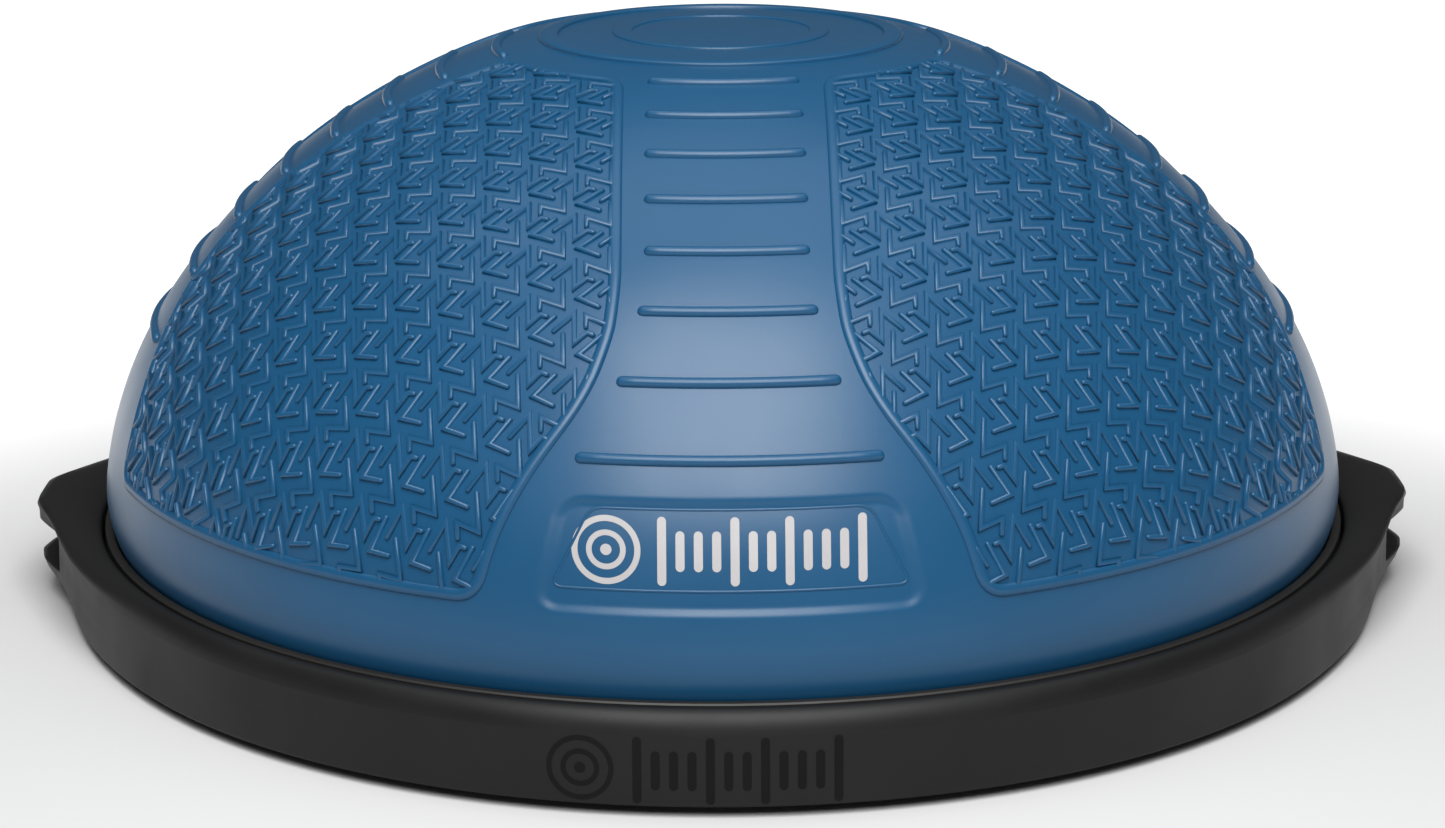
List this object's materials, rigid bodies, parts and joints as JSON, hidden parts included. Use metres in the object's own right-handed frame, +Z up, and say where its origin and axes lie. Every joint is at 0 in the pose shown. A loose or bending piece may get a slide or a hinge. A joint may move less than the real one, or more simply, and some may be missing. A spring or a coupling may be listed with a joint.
{
  "type": "balance dome trainer",
  "caption": "Inflated vinyl half-dome clamped to a rigid round platform with a carrying ear at each side; flat standing face underneath.",
  "frame": {"origin": "on the dome's axis, at the floor under the anti-slip ring", "axes": "+X to the right-hand ear, -Y to the badge side, +Z up"},
  "size_m": [0.6916, 0.64, 0.2821],
  "materials": {
    "platform": "satin moulded black",
    "plate": "fine moulded texture",
    "clamp_ring": "satin moulded black",
    "bladder": "satin moulded vinyl, steel blue",
    "bladder_inner": "plain vinyl sheet",
    "sole": "matt rubber",
    "valve": "smooth rubber",
    "bezel": "moulded plastic",
    "screw": "zinc-plated steel"
  },
  "bodies": {
    "trainer": {"platform_shell": "platform", "bottom_plate": "plate", "sole_ring": "sole", "dome_bladder": "bladder", "bladder_floor": "bladder_inner", "valve_patch": "bladder_inner", "valve_seat": "valve", "valve_bezel": "bezel", "retaining_ring": "clamp_ring", "clamp_screws": "screw", "plate_screws": "screw"},
    "plug": {"valve_plug": "valve"}
  },
  "joints": [
    {"name": "valve_plug_pull", "type": "slide", "parent": "trainer", "child": "plug", "axis": [0, 0, -1], "range_m": [0, 0.045]}
  ]
}
